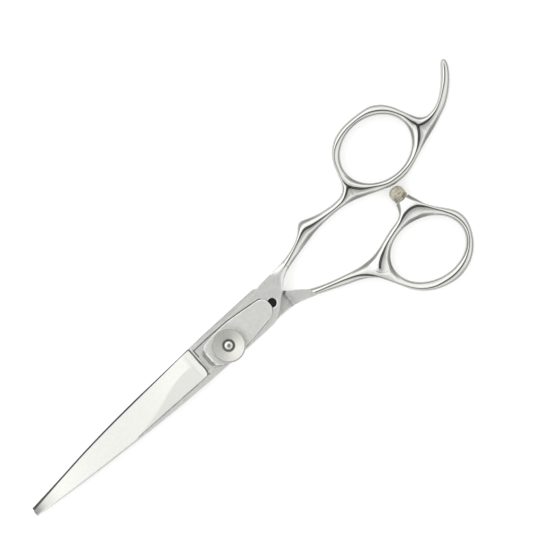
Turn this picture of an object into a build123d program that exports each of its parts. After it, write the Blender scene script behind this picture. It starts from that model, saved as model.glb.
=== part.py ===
from build123d import *
import os

# Hair cutting shears with a dial-and-leaf-spring pivot, millimetres.
# Origin: the pivot axis on the flat back of the pivot. +X runs to the blade tips,
# +Y to the thumb ring side, +Z to the dial. The shears are modelled closed.

# ---- driving dimensions -------------------------------------------------------------
HALF_THICK = 2.8         # thickness of one blade at the pivot
RIDE_GAP = 0.1           # running gap between the two blades
FRONT_Z = HALF_THICK + RIDE_GAP
FULL_Z = FRONT_Z + HALF_THICK

TIP_X = 72.4             # pivot to blade tips
PANEL_X = 9.5            # pivot to the start of the ground blade panel
EDGE_THICK = 0.3         # blade thickness left at the cutting edge
TIP_THICK = 1.3          # blade thickness at the spine of the tip
PANEL_STEP = 0.25        # drop from the flat to the ground panel at its start
PANEL_STEP_RUN = 0.12    # width of that drop
WELD_X = -27.0           # where the cast handles are welded to the forged blades

FINGER_HOLE = (-67.6, -14.4)
FINGER_RADII = (10.7, 8.7)
FINGER_TILT = -3.0
FINGER_BAND = 2.6
THUMB_HOLE = (-60.4, 16.3)
THUMB_RADII = (11.1, 8.6)
THUMB_TILT = -11.7
THUMB_BAND = 3.5
EDGE_ROUND = 0.9         # break on the rims of both rings
FLARE_ANGLE = 40         # flare of the finger openings at both faces
CUT_OVERRUN = 0.2        # how far a cut runs past the face it leaves
BAR_INSET = 0.3          # the bars are this much lower than the rings on each side

STUD_R = 2.0             # pivot stud shank
RUNNING_FIT = 0.04       # radial clearance of the stud in its bearing bush
HEAD_R = 3.3             # flat head on the back
HEAD_THICK = 1.0
HEAD_BORE_R = 3.45       # counterbore for the head, and recess for the blade washer
SPANNER_X = 1.9          # two pin holes for a spanner in the head
SPANNER_R = 0.5
SPANNER_DEPTH = 0.6
WASHER_THICK = 0.2       # slide washer under the head
WASHER_RECESS = 0.3      # recess for the slide washer between the blades
WASHER_PLAY = 0.02
WASHER_SIDE_FIT = 0.05
BUSH_R = 2.65            # bearing bush pressed into the rear blade
FLAT_HALF = 1.5          # half the width across the stud's key flats
WASHER_R = 3.8           # washers under the dial
WAVE_THICK = 0.3         # height of the pressed-down spring washer
STACK_FIT = 0.1          # radial clearance of the loose parts under the dial
THREAD_R = 1.5
THREAD_FIT = 0.05
PIN_R = 1.3              # plain domed end of the stud
PIN_TOP = 8.0
PIN_DOME = 0.45

PLATE_THICK = 0.8        # leaf plate under the dial
PLATE_POCKET = 0.4       # how deep it sits in the blade
PLATE_BEVEL_HIGH = 0.35  # bevel on its far end
PLATE_BEVEL_LONG = 1.1
PLATE_AXIS_Y = -1.0
HOLE_X = -17.1           # blind hole at the plate's end
HOLE_R = 1.3
HOLE_DEPTH = 1.6

DIAL_R = 4.9
DIAL_THICK = 1.7
DIAL_LIFT = 0.2          # gap left under the dial for its screw travel
DIAL_FOOT_BREAK = 0.15
DIAL_RIM_BREAK = 0.25
DIAL_RIM = 0.45          # width of the rim round the dish, with its break
DISH_DEPTH = 0.55
DIAL_WELL_R = 4.05       # well in the underside for the spring and the click ring
DIAL_WELL_DEPTH = 0.75
DIAL_HOLE_R = 1.8        # recess round the end of the stud
DIAL_HOLE_DEPTH = 0.3
CLICK_LIFT = 0.46        # click ring above the plate, leaving it room over the spring
CLICK_PLAY = 0.02
CLICK_KEY_LONG = 2.2     # inner keys that slide on the stud's flats
CLICK_KEY_WIDE = 1.2

BUMPER_X = -64.0
BUMPER_SEAT_Y = 1.2
BUMPER_END_Y = -3.1
BUMPER_R = 2.3
BUMPER_NECK_R = 2.0
BUMPER_NECK = 1.2
BUMPER_DOME = 1.5
CORE_R = 0.9
CORE_GRIP = 2.6          # length of the screw core inside the rubber
CORE_IN_BOSS = 2.2       # length of the screw core in the handle's foot
CORE_BORE = 3.2          # depth of the threaded hole, leaving room to screw in

# ---- levels of the pivot stack ------------------------------------------------------
WEB_Z = HEAD_THICK + WASHER_THICK                  # floor of the head's counterbore
WASHER_POCKET_Z = HALF_THICK - WASHER_RECESS
POCKET_Z = FULL_Z - PLATE_POCKET
PLATE_TOP = POCKET_Z + PLATE_THICK
DIAL_Z = PLATE_TOP + DIAL_LIFT
DIAL_TOP = DIAL_Z + DIAL_THICK
WELL_TOP = DIAL_Z + DIAL_WELL_DEPTH
CLICK_Z = PLATE_TOP + CLICK_LIFT
CLICK_THICK = WELL_TOP - CLICK_Z - CLICK_PLAY
THREAD_Z = WELL_TOP - 0.3                          # the key flats end, the thread begins
PIN_Z = DIAL_TOP - DISH_DEPTH - 0.35               # the thread ends, the plain end begins
MID_Z = FULL_Z / 2

# ---- blade plan: spine and edge as (x, offset from the X axis) ----------------------
# the front blade's spine lies on +Y, the rear blade's on -Y
FRONT_SPINE = [(PANEL_X, 4.2), (30, 3.8), (50, 2.75), (65, 1.6), (TIP_X, 1.05)]
FRONT_EDGE = [(PANEL_X, -6.4), (30, -5.25), (50, -3.7), (65, -1.8), (TIP_X, -0.85)]
REAR_SPINE = [(PANEL_X, -6.75), (30, -5.75), (50, -4.2), (65, -2.4), (TIP_X - 0.2, -1.7)]
REAR_EDGE = [(PANEL_X, 3.6), (30, 3.1), (50, 2.1), (65, 1.0), (TIP_X - 0.2, 0.5)]
PANEL_STRIP = [1.5, 0.9, 0.35, 0.3, 0.25]   # flat left beside the spine at those stations

os.makedirs("parts", exist_ok=True)


def write(name, builder):
    """Label the finished piece and write its STEP file."""
    builder.part.label = name
    export_step(builder.part, f"parts/{name}.step")


def blade_sections(spine, edge, inner_z, outward):
    """Tapering blade, full at the spine and thin at the cutting edge."""
    with BuildPart() as blade:
        for (x, spine_y), (_, edge_y), strip in zip(spine, edge, PANEL_STRIP):
            along = (x - PANEL_X) / (TIP_X - PANEL_X)
            thick = HALF_THICK + (TIP_THICK - HALF_THICK) * along
            side = 1 if edge_y > spine_y else -1
            strip_y = spine_y + side * strip
            step = PANEL_STEP * (1 - along)
            corners = [
                (spine_y, inner_z),
                (spine_y, inner_z + outward * thick),
                (strip_y, inner_z + outward * thick),
                (strip_y + side * PANEL_STEP_RUN, inner_z + outward * (thick - step)),
                (edge_y, inner_z + outward * EDGE_THICK),
                (edge_y, inner_z),
            ]
            with BuildSketch(Plane.YZ.offset(x)):
                with BuildLine():
                    Polyline(*corners, close=True)
                make_face()
        loft(ruled=True)
    return blade.part


# ---- front half ---------------------------------------------------------------------
def front_heel_outline():
    """Flat of the front blade from the ground panel back to the weld."""
    with BuildSketch() as outline:
        with BuildLine():
            Polyline((PANEL_X, -6.4), (PANEL_X, 4.2), (-4, 4.1), (-13.8, 3.8))
            Spline((-13.8, 3.8), (-15.1, 3.4), (-17.9, 1.4), (-21.5, -1.6), (-24, -3.8), (WELD_X, -5.1))
            Line((WELD_X, -5.1), (WELD_X, -8.0))
            Spline((WELD_X, -8.0), (-24, -7.6), (-18.3, -7.2), (-15.6, -6.7))
            Polyline((-15.6, -6.7), (-4, -5.95), (1.7, -5.9), (PANEL_X, -6.4))
        make_face()
    return outline.sketch


def front_tang_outline():
    """Full-depth tang of the front blade, behind the rear blade's heel."""
    with BuildSketch() as outline:
        with BuildLine():
            Polyline(
                (-18.75, -7.15), (-22.3, -2.75), (-24, -3.8), (-25.5, -4.6), (WELD_X, -5.1),
                (WELD_X, -8.0), (-24, -7.6), close=True,
            )
        make_face()
    return outline.sketch


def plate_outline():
    """Leaf plate seen from above."""
    with BuildSketch() as outline:
        with BuildLine():
            Polyline(
                (-16.35, -2.3), (-14.9, -4.1), (-11.9, -4.5), (-4, -5.3), (4.6, -4.6), (7.5, -2.8),
                (7.5, 0.9), (5.1, 2.9), (-4, 3.4), (-12.6, 2.1), (-14.6, 1.6), (-16.35, 0.0),
                close=True,
            )
        make_face()
    return outline.sketch


def pocket_outline():
    """Shallow pocket that locates the leaf plate and runs on to the ground panel."""
    with BuildSketch() as outline:
        with BuildLine():
            Polyline(
                (-16.45, -2.3), (-14.95, -4.2), (-11.9, -4.6), (-4, -5.5), (2, -5.55), (8.7, -5.4),
                (8.7, 1.6), (5.15, 3.0), (-4, 3.5), (-12.6, 2.2), (-14.65, 1.7), (-16.45, 0.05),
                close=True,
            )
        make_face()
    return outline.sketch


with BuildPart() as front_blade:
    add(blade_sections(FRONT_SPINE, FRONT_EDGE, FRONT_Z, 1))
    with BuildSketch(Plane.XY.offset(FRONT_Z)):
        add(front_heel_outline())
    extrude(amount=HALF_THICK)
    with BuildSketch():
        add(front_tang_outline())
    extrude(amount=FRONT_Z)
    with BuildSketch(Plane.XY.offset(POCKET_Z)):
        add(pocket_outline())
    extrude(amount=PLATE_POCKET, mode=Mode.SUBTRACT)
    with BuildSketch(Plane.XY.offset(FULL_Z - HOLE_DEPTH)):
        with Locations((HOLE_X, PLATE_AXIS_Y)):
            Circle(HOLE_R)
    extrude(amount=HOLE_DEPTH, mode=Mode.SUBTRACT)
    with BuildSketch(Plane.XY.offset(FRONT_Z)):
        Circle(STUD_R + RUNNING_FIT)
    extrude(amount=HALF_THICK, mode=Mode.SUBTRACT)

write("front_blade", front_blade)


def ring_blank(centre, radii, band, tilt):
    """Solid oval blank of a finger ring, with its outer rims broken."""
    with BuildPart() as blank:
        with BuildSketch(Plane.XY):
            with Locations(Location((centre[0], centre[1], 0), (0, 0, tilt))):
                Ellipse(radii[0] + band, radii[1] + band)
        extrude(amount=FULL_Z)
        chamfer(blank.edges().group_by(Axis.Z)[0] + blank.edges().group_by(Axis.Z)[-1], EDGE_ROUND)
    return blank.part


def ring_hole(centre, radii, tilt):
    """Oval finger opening, flared at both faces."""
    with BuildPart() as hole:
        for level, direction in ((MID_Z, 1), (MID_Z, -1)):
            with BuildSketch(Plane.XY.offset(level)):
                with Locations(Location((centre[0], centre[1], 0), (0, 0, tilt))):
                    Ellipse(*radii)
            extrude(amount=direction * (MID_Z - EDGE_ROUND))
            with BuildSketch(Plane.XY.offset(level + direction * (MID_Z - EDGE_ROUND))):
                with Locations(Location((centre[0], centre[1], 0), (0, 0, tilt))):
                    Ellipse(*radii)
            extrude(amount=direction * (EDGE_ROUND + CUT_OVERRUN), taper=-FLARE_ANGLE)
    return hole.part


def finger_shank_outline():
    """Slim bar from the weld to the finger ring, with the small spur on its outside."""
    with BuildSketch() as outline:
        with BuildLine():
            Line((WELD_X, -8.0), (WELD_X, -5.1))
            Spline(
                (WELD_X, -5.1), (-33, -6.6), (-40, -8.1), (-48, -8.3),
                (-55, -7.0), (-62, -4.2), (-67, -3.2),
            )
            Polyline((-67, -3.2), (-67, -5.2), (-57, -15), (-55.6, -19))
            Spline((-55.6, -19), (-54.3, -15), (-52.5, -11.9), (-49, -10.9), (-43, -11.5), (-38.6, -13.1))
            Line((-38.6, -13.1), (-37.2, -13.0))
            Spline((-37.2, -13.0), (-34, -10.3), (-30, -8.7), (WELD_X, -8.0))
        make_face()
    return outline.sketch


def finger_rest_outline():
    """Curved tail rest that grows out of the finger ring."""
    with BuildSketch() as outline:
        with BuildLine():
            Spline((-74, -4.9), (-80, -6.9), (-88, -9.6), (-94, -13.1), (-98, -17.5), (-99.3, -20.4))
            ThreePointArc((-99.3, -20.4), (-98.9, -21.5), (-97.4, -21.1))
            Spline(
                (-97.4, -21.1), (-95, -18), (-92, -15.1), (-88, -12.7),
                (-84.5, -12.3), (-81, -16.5), (-78, -22.2),
            )
            Line((-78, -22.2), (-74, -4.9))
        make_face()
    return outline.sketch


with BuildPart() as front_handle:
    add(ring_blank(FINGER_HOLE, FINGER_RADII, FINGER_BAND, FINGER_TILT))
    with BuildSketch(Plane.XY.offset(BAR_INSET)):
        add(finger_shank_outline())
        add(finger_rest_outline())
    extrude(amount=FULL_Z - 2 * BAR_INSET)
    add(ring_hole(FINGER_HOLE, FINGER_RADII, FINGER_TILT), mode=Mode.SUBTRACT)

write("front_handle", front_handle)


# ---- rear half ----------------------------------------------------------------------
def rear_heel_outline():
    """Flat of the rear blade, under the front blade, and its tang to the weld."""
    with BuildSketch() as outline:
        with BuildLine():
            Polyline((PANEL_X, 3.6), (PANEL_X, -6.75), (4, -7.0), (-4, -7.2), (-15.6, -7.43))
            Line((-15.6, -7.43), (-21.6, -1.6))
            Polyline((-21.6, -1.6), (-25.9, 1.5), (-26.6, 1.95), (-28.2, 4.8))
            Line((-28.2, 4.8), (-28.4, 5.8))
            Spline((-28.4, 5.8), (-25, 4.6), (-21, 3.6), (-16, 3.5))
            Polyline((-16, 3.5), (-12, 3.75), (PANEL_X, 3.6))
        make_face()
    return outline.sketch


def rear_tang_outline():
    """Part of the rear tang that rises to full depth beside the front blade's heel."""
    with BuildSketch() as outline:
        with BuildLine():
            Polyline(
                (-22.1, -1.25), (-25.9, 1.5), (-26.6, 1.95), (-28.2, 4.8), (-28.4, 5.8),
                (-25, 4.6), (-21, 3.6), (-16.3, 3.5), (-16.3, 3.2), (-18.2, 1.75), close=True,
            )
        make_face()
    return outline.sketch


with BuildPart() as rear_blade:
    add(blade_sections(REAR_SPINE, REAR_EDGE, HALF_THICK, -1))
    with BuildSketch():
        add(rear_heel_outline())
    extrude(amount=HALF_THICK)
    with BuildSketch(Plane.XY.offset(HALF_THICK)):
        add(rear_tang_outline())
    extrude(amount=HALF_THICK)
    with BuildSketch():
        Circle(HEAD_BORE_R)
    extrude(amount=WEB_Z, mode=Mode.SUBTRACT)
    with BuildSketch(Plane.XY.offset(WEB_Z)):
        Circle(BUSH_R)
    extrude(amount=HALF_THICK, mode=Mode.SUBTRACT)
    with BuildSketch(Plane.XY.offset(WASHER_POCKET_Z)):
        Circle(HEAD_BORE_R)
    extrude(amount=HALF_THICK, mode=Mode.SUBTRACT)

write("rear_blade", rear_blade)


def thumb_shank_outline():
    """Slim bar from the weld to the thumb ring and the foot that carries the bumper."""
    with BuildSketch() as outline:
        with BuildLine():
            Polyline((-28.4, 5.8), (-28.2, 4.8), (-26.6, 1.95), (-27.2, 2.6))
            Spline((-27.2, 2.6), (-33, 5.0), (-40, 7.2), (-46, 8.1), (-52, 7.0), (-59, 5.0))
            Spline((-59, 5.0), (-61.2, 3.4), (-62.0, 1.2))
            Line((-62.0, 1.2), (-66.2, 1.2))
            Spline((-66.2, 1.2), (-67.3, 4.0), (-69.5, 8.2), (-72.8, 13.0))
            Polyline((-72.8, 13.0), (-66, 9.4), (-52, 9.0), (-49.5, 13), (-50, 23))
            Spline((-50, 23), (-47, 18), (-44.5, 13.6), (-40, 10.6), (-34, 8.2), (-28.4, 5.8))
        make_face()
    return outline.sketch


with BuildPart() as rear_handle:
    add(ring_blank(THUMB_HOLE, THUMB_RADII, THUMB_BAND, THUMB_TILT))
    with BuildSketch(Plane.XY.offset(BAR_INSET)):
        add(thumb_shank_outline())
    extrude(amount=FULL_Z - 2 * BAR_INSET)
    add(ring_hole(THUMB_HOLE, THUMB_RADII, THUMB_TILT), mode=Mode.SUBTRACT)
    with BuildSketch(Plane.XZ.offset(-BUMPER_SEAT_Y)):
        with Locations((BUMPER_X, MID_Z)):
            Circle(CORE_R + THREAD_FIT)
    extrude(amount=-CORE_BORE, mode=Mode.SUBTRACT)

write("rear_handle", rear_handle)


# ---- bumper -------------------------------------------------------------------------
with BuildPart() as bumper:
    with BuildSketch(Plane.XZ.offset(-BUMPER_SEAT_Y)):
        with Locations((BUMPER_X, MID_Z)):
            Circle(BUMPER_NECK_R)
    extrude(amount=BUMPER_NECK)
    with BuildSketch(Plane.XZ.offset(BUMPER_NECK - BUMPER_SEAT_Y)):
        with Locations((BUMPER_X, MID_Z)):
            Circle(BUMPER_R)
    extrude(amount=BUMPER_SEAT_Y - BUMPER_NECK - BUMPER_END_Y)
    fillet(bumper.faces().sort_by(Axis.Y)[0].edges(), BUMPER_DOME)
    with BuildSketch(Plane.XZ.offset(-BUMPER_SEAT_Y)):
        with Locations((BUMPER_X, MID_Z)):
            Circle(CORE_R)
    extrude(amount=CORE_GRIP, mode=Mode.SUBTRACT)

write("bumper", bumper)

with BuildPart() as bumper_screw:
    with BuildSketch(Plane.XZ.offset(CORE_GRIP - BUMPER_SEAT_Y)):
        with Locations((BUMPER_X, MID_Z)):
            Circle(CORE_R)
    extrude(amount=-(CORE_GRIP + CORE_IN_BOSS))

write("bumper_screw", bumper_screw)


# ---- pivot --------------------------------------------------------------------------
with BuildPart() as pivot_stud:
    with BuildSketch():
        Circle(HEAD_R)
    extrude(amount=HEAD_THICK)
    with BuildSketch(Plane.XY.offset(HEAD_THICK)):
        Circle(STUD_R)
    extrude(amount=POCKET_Z - HEAD_THICK)
    with BuildSketch(Plane.XY.offset(POCKET_Z)):
        Circle(STUD_R)
        Rectangle(2 * STUD_R, 2 * FLAT_HALF, mode=Mode.INTERSECT)
    extrude(amount=THREAD_Z - POCKET_Z)
    with BuildSketch(Plane.XY.offset(THREAD_Z)):
        Circle(THREAD_R)
    extrude(amount=PIN_Z - THREAD_Z)
    with BuildSketch(Plane.XY.offset(PIN_Z)):
        Circle(PIN_R)
    extrude(amount=PIN_TOP - PIN_Z)
    fillet(pivot_stud.faces().sort_by(Axis.Z)[-1].edges(), PIN_DOME)
    with BuildSketch():
        with Locations((-SPANNER_X, 0), (SPANNER_X, 0)):
            Circle(SPANNER_R)
    extrude(amount=SPANNER_DEPTH, mode=Mode.SUBTRACT)

write("pivot_stud", pivot_stud)


def washer(z, outer, inner, thick):
    """Plain round washer standing at height z."""
    with BuildPart() as disc:
        with BuildSketch(Plane.XY.offset(z)):
            Circle(outer)
            Circle(inner, mode=Mode.SUBTRACT)
        extrude(amount=thick)
    return disc


head_washer = washer(HEAD_THICK, HEAD_R - 0.1, STUD_R + RUNNING_FIT, WASHER_THICK)

write("head_washer", head_washer)

pivot_bush = washer(WEB_Z, BUSH_R, STUD_R + RUNNING_FIT, WASHER_POCKET_Z - WEB_Z)

write("pivot_bush", pivot_bush)

blade_washer = washer(
    WASHER_POCKET_Z,
    HEAD_BORE_R - WASHER_SIDE_FIT,
    STUD_R + RUNNING_FIT,
    FRONT_Z - WASHER_POCKET_Z - WASHER_PLAY,
)

write("blade_washer", blade_washer)

with BuildPart() as tension_plate:
    with BuildSketch(Plane.XY.offset(POCKET_Z)):
        add(plate_outline())
        with BuildSketch(mode=Mode.SUBTRACT):
            Circle(STUD_R + RUNNING_FIT)
            Rectangle(4 * STUD_R, 2 * (FLAT_HALF + RUNNING_FIT), mode=Mode.INTERSECT)
    extrude(amount=PLATE_THICK)
    far_edge = tension_plate.edges().group_by(Axis.Z)[-1].sort_by(Axis.X)[-1]
    chamfer(far_edge, PLATE_BEVEL_HIGH, PLATE_BEVEL_LONG)

write("tension_plate", tension_plate)

spring_washer = washer(PLATE_TOP, WASHER_R, STUD_R + STACK_FIT, WAVE_THICK)

write("spring_washer", spring_washer)

with BuildPart() as click_ring:
    add(washer(CLICK_Z, WASHER_R, STUD_R + STACK_FIT, CLICK_THICK).part)
    with BuildSketch(Plane.XY.offset(CLICK_Z)):
        for side in (1, -1):
            with Locations((0, side * (FLAT_HALF + STACK_FIT + CLICK_KEY_WIDE / 2))):
                Rectangle(CLICK_KEY_LONG, CLICK_KEY_WIDE)
    extrude(amount=CLICK_THICK)

write("click_ring", click_ring)


# ---- adjuster dial ------------------------------------------------------------------
with BuildPart() as adjuster_dial:
    with BuildSketch(Plane.XZ):
        with BuildLine():
            Polyline(
                (THREAD_R + THREAD_FIT, WELL_TOP),
                (DIAL_WELL_R, WELL_TOP),
                (DIAL_WELL_R, DIAL_Z),
                (DIAL_R - DIAL_FOOT_BREAK, DIAL_Z),
                (DIAL_R, DIAL_Z + DIAL_FOOT_BREAK),
                (DIAL_R, DIAL_TOP - DIAL_RIM_BREAK),
                (DIAL_R - DIAL_RIM_BREAK, DIAL_TOP),
                (DIAL_R - DIAL_RIM, DIAL_TOP),
                (DIAL_HOLE_R, DIAL_TOP - DISH_DEPTH),
                (DIAL_HOLE_R, DIAL_TOP - DISH_DEPTH - DIAL_HOLE_DEPTH),
                (THREAD_R + THREAD_FIT, DIAL_TOP - DISH_DEPTH - DIAL_HOLE_DEPTH),
                close=True,
            )
        make_face()
    revolve(axis=Axis.Z)

write("adjuster_dial", adjuster_dial)
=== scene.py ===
import math

import bpy
import numpy as np
from mathutils import Matrix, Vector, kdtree


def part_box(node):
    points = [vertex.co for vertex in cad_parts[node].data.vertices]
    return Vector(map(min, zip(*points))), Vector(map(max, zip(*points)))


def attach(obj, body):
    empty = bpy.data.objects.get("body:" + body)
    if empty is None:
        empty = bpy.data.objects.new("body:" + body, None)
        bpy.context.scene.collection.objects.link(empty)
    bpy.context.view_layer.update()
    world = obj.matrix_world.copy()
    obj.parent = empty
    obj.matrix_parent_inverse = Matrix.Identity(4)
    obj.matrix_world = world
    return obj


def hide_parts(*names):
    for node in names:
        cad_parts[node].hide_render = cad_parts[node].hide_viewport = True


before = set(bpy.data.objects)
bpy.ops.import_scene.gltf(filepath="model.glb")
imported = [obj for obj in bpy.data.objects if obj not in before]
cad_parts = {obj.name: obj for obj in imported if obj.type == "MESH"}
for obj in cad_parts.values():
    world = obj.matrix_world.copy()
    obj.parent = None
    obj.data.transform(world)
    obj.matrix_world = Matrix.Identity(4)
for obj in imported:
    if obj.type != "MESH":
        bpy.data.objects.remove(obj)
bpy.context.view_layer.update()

MM = 0.001  # every length below is in millimetres until a mesh is made

# ---- levels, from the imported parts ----
def node_mm(node):
    """Lowest and highest corner of a CAD node, in millimetres."""
    low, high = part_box(node)
    return np.array(low) / MM, np.array(high) / MM


FULL_Z = node_mm("front_handle")[1][2]
MID_Z = FULL_Z / 2
RIDE_REAR = node_mm("blade_washer")[1][2] - 0.08  # inner face of the rear blade
RIDE_FRONT = RIDE_REAR + 0.1  # inner face of the front blade
BLADE_T = FULL_Z - RIDE_FRONT
PLATE_LOW, PLATE_HIGH = np.array(node_mm("tension_plate"))[:, 2]
DIAL_LOW, DIAL_HIGH = np.array(node_mm("adjuster_dial"))[:, 2]
DIAL_R = node_mm("adjuster_dial")[1][0]
TIP_X = node_mm("front_blade")[1][0]
WELD_X = node_mm("front_blade")[0][0]


# ---- curves ----
def through(points, steps=10, closed=False):
    """Smooth curve through points (centripetal Catmull-Rom)."""
    p = np.array(points, float)
    if closed:
        p = np.vstack([p[-1], p, p[0], p[1]])
    else:
        p = np.vstack([2 * p[0] - p[1], p, 2 * p[-1] - p[-2]])
    out = []
    for a, b, c, d in zip(p[:-3], p[1:-2], p[2:-1], p[3:]):
        t0 = 0.0
        t1 = t0 + np.linalg.norm(b - a) ** 0.5
        t2 = t1 + np.linalg.norm(c - b) ** 0.5
        t3 = t2 + np.linalg.norm(d - c) ** 0.5
        t = np.linspace(t1, t2, steps, endpoint=False)[:, None]
        ab = (t1 - t) / (t1 - t0) * a + (t - t0) / (t1 - t0) * b
        bc = (t2 - t) / (t2 - t1) * b + (t - t1) / (t2 - t1) * c
        cd = (t3 - t) / (t3 - t2) * c + (t - t2) / (t3 - t2) * d
        abc = (t2 - t) / (t2 - t0) * ab + (t - t0) / (t2 - t0) * bc
        bcd = (t3 - t) / (t3 - t1) * bc + (t - t1) / (t3 - t1) * cd
        out.append((t2 - t) / (t2 - t1) * abc + (t - t1) / (t2 - t1) * bcd)
    out = np.vstack(out)
    return out if closed else np.vstack([out, p[-2]])


def profile(*points):
    """Function y(x) that runs smoothly through points, without overshoot."""
    xs, ys = (np.array(v, float) for v in zip(*points))
    slope = np.diff(ys) / np.diff(xs)
    tangent = np.empty(len(xs))
    tangent[0], tangent[-1] = slope[0], slope[-1]
    same = slope[:-1] * slope[1:] > 0
    tangent[1:-1] = np.where(same, 2 * slope[:-1] * slope[1:] / np.where(same, slope[:-1] + slope[1:], 1), 0)

    def at(x):
        x = np.clip(np.asarray(x, float), xs[0], xs[-1])
        i = np.clip(np.searchsorted(xs, x, side="right") - 1, 0, len(xs) - 2)
        h = xs[i + 1] - xs[i]
        t = (x - xs[i]) / h
        return (
            (2 * t**3 - 3 * t**2 + 1) * ys[i]
            + (t**3 - 2 * t**2 + t) * h * tangent[i]
            + (3 * t**2 - 2 * t**3) * ys[i + 1]
            + (t**3 - t**2) * h * tangent[i + 1]
        )

    return at


def step(low, high, x):
    """Smooth 0 to 1 between low and high."""
    t = np.clip((x - low) / (high - low), 0, 1)
    return t * t * (3 - 2 * t)


def to_segment(a, b, x, y):
    """Distance from points to the line from a to b."""
    e = b - a
    t = np.clip(((x - a[0]) * e[0] + (y - a[1]) * e[1]) / max(e @ e, 1e-9), 0, 1)
    return np.hypot(x - a[0] - t * e[0], y - a[1] - t * e[1])


def ellipse(centre, radii, tilt, n=240):
    """Points round an oval."""
    a = np.linspace(0, 2 * math.pi, n, endpoint=False)
    c, s = math.cos(math.radians(tilt)), math.sin(math.radians(tilt))
    u, v = radii[0] * np.cos(a), radii[1] * np.sin(a)
    return np.stack([centre[0] + u * c - v * s, centre[1] + u * s + v * c], 1)


# ---- mesh helpers ----
def add_mesh(name, vertices_mm, faces, materials, face_slots=None, sharp=None, normals=None):
    """Mesh object from millimetre vertices."""
    mesh = bpy.data.meshes.new(name)
    mesh.from_pydata((np.asarray(vertices_mm) * MM).tolist(), [], [list(map(int, f)) for f in faces])
    mesh.validate()
    for m in materials:
        mesh.materials.append(m)
    mesh.polygons.foreach_set("use_smooth", np.ones(len(mesh.polygons), bool))
    if face_slots is not None:
        mesh.polygons.foreach_set("material_index", np.asarray(face_slots, np.int32))
    if sharp is not None:
        mesh.set_sharp_from_angle(angle=math.radians(sharp))
    if normals is not None:
        mesh.normals_split_custom_set_from_vertices(normals.tolist())
    mesh.update()
    obj = bpy.data.objects.new(name, mesh)
    bpy.context.scene.collection.objects.link(obj)
    return obj


def lathe(name, rings, centre, axis, material, around=128, sharp=35):
    """Closed turned solid: rings are (radius, distance along the axis)."""
    centre, axis = np.array(centre, float), np.array(axis, float)
    side = np.cross(axis, [1, 0, 0] if abs(axis[0]) < 0.9 else [0, 1, 0])
    side /= np.linalg.norm(side)
    other = np.cross(axis, side)
    a = np.linspace(0, 2 * math.pi, around, endpoint=False)
    loop = np.cos(a)[:, None] * side + np.sin(a)[:, None] * other
    vertices, faces = [], []
    for r, h in rings:
        if r == 0:
            vertices.append((centre + axis * h)[None])
        else:
            vertices.append(centre + axis * h + r * loop)
    starts = np.cumsum([0] + [len(v) for v in vertices])
    closed = rings[0][0] != 0
    pairs = list(zip(range(len(rings) - 1), range(1, len(rings))))
    if closed:
        pairs.append((len(rings) - 1, 0))
    for i, j in pairs:
        one, two = len(vertices[i]) == 1, len(vertices[j]) == 1
        for k in range(around):
            n = (k + 1) % around
            if one:
                faces.append((starts[i], starts[j] + n, starts[j] + k))
            elif two:
                faces.append((starts[i] + k, starts[i] + n, starts[j]))
            else:
                faces.append((starts[i] + k, starts[i] + n, starts[j] + n, starts[j] + k))
    return add_mesh(name, np.vstack(vertices), faces, [material], sharp=sharp)


# ---- inflated handles ----
PLAN_STEP = 0.1  # spacing of the plan grid on which the handle's height is solved
SKIN_STEP = 0.2  # spacing of the skin's cells


def inside(loop, x, y):
    """Which grid points lie inside a closed loop; x and y are the grid's axes."""
    mask = np.zeros((len(x), len(y)), bool)
    a, b = loop, np.roll(loop, -1, 0)
    for j, yj in enumerate(y):
        cross = (a[:, 1] <= yj) != (b[:, 1] <= yj)
        p, q = a[cross], b[cross]
        hits = np.sort(p[:, 0] + (yj - p[:, 1]) / (q[:, 1] - p[:, 1]) * (q[:, 0] - p[:, 0]))
        for left, right in zip(hits[::2], hits[1::2]):
            mask[np.searchsorted(x, left):np.searchsorted(x, right), j] = True
    return mask


def neighbours(grid):
    """The grid moved by one step each way."""
    return [np.roll(grid, shift, axis) for shift, axis in ((1, 0), (-1, 0), (1, 1), (-1, 1))]


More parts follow.
